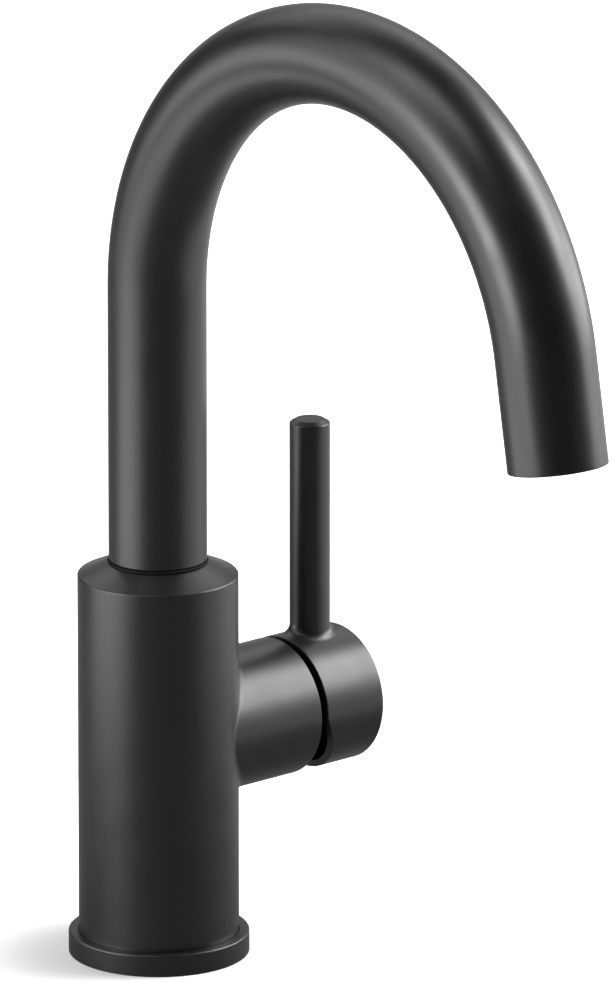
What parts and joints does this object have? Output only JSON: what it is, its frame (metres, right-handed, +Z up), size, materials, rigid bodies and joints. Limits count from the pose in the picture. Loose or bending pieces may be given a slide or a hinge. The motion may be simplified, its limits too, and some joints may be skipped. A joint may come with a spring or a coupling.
{
  "type": "gooseneck bar faucet",
  "caption": "Bar faucet with a round column, a swivelling gooseneck spout, a ceramic disc mixing valve in a side boss and an upright rod lever.",
  "frame": {"origin": "where the column's axis meets the deck, at the mouth of the threaded hole for the fixing stud", "axes": "+Z up along the column, the spout reaches towards -Y, the valve's axis and the handle lie towards +X"},
  "size_m": [0.0981, 0.2177, 0.3062],
  "materials": {
    "matte_black": "satin matte black coating on brass",
    "black_plastic": "fine moulded",
    "brass": "turned",
    "steel": "turned stainless steel",
    "white_plastic": "moulded acetal",
    "ceramic": "lapped alumina ceramic",
    "rubber": "moulded"
  },
  "bodies": {
    "base": {"body_shell": "matte_black", "base_ring": "matte_black", "base_gasket": "rubber", "mounting_plate": "brass", "plate_screws": "steel", "valve_body": "brass", "spout_glide_ring": "black_plastic", "spout_sleeve": "white_plastic", "cartridge_housing": "white_plastic", "cartridge_base": "white_plastic", "cartridge_seals": "rubber", "fixed_disc": "ceramic", "bonnet_nut": "brass", "bonnet_cap": "black_plastic"},
    "spout": {"spout_tube": "matte_black", "spout_adapter": "brass", "spout_o_rings": "rubber", "spout_retaining_ring": "steel", "outlet_collar": "brass", "aerator_housing": "black_plastic", "aerator_screen": "steel", "flow_regulator": "white_plastic", "aerator_washer": "rubber"},
    "mixer": {"stem_holder": "white_plastic", "stem_pivot_pin": "steel"},
    "disc": {"moving_disc": "ceramic", "disc_carrier": "white_plastic"},
    "handle": {"handle": "matte_black", "cartridge_stem": "brass", "handle_set_screw": "steel", "handle_screw_plug": "black_plastic"}
  },
  "joints": [
    {"name": "spout_swivel", "type": "hinge", "parent": "base", "child": "spout", "pos_m": [0, 0, 0.122], "axis": [0, 0, 1], "continuous": true},
    {"name": "temperature", "type": "hinge", "parent": "base", "child": "mixer", "pos_m": [0.041, 0, 0.0667], "axis": [1, 0, 0], "range_deg": [-50, 50]},
    {"name": "flow", "type": "hinge", "parent": "mixer", "child": "handle", "pos_m": [0.041, 0, 0.0667], "axis": [0, 1, 0], "range_deg": [0, 20]},
    {"name": "disc_slide", "type": "slide", "parent": "mixer", "child": "disc", "axis": [0, 0, 1], "range_m": [0, 0.0033]}
  ],
  "couplings": [
    {"joint": "disc_slide", "follows": "flow", "m_per_rad": 0.009112}
  ]
}
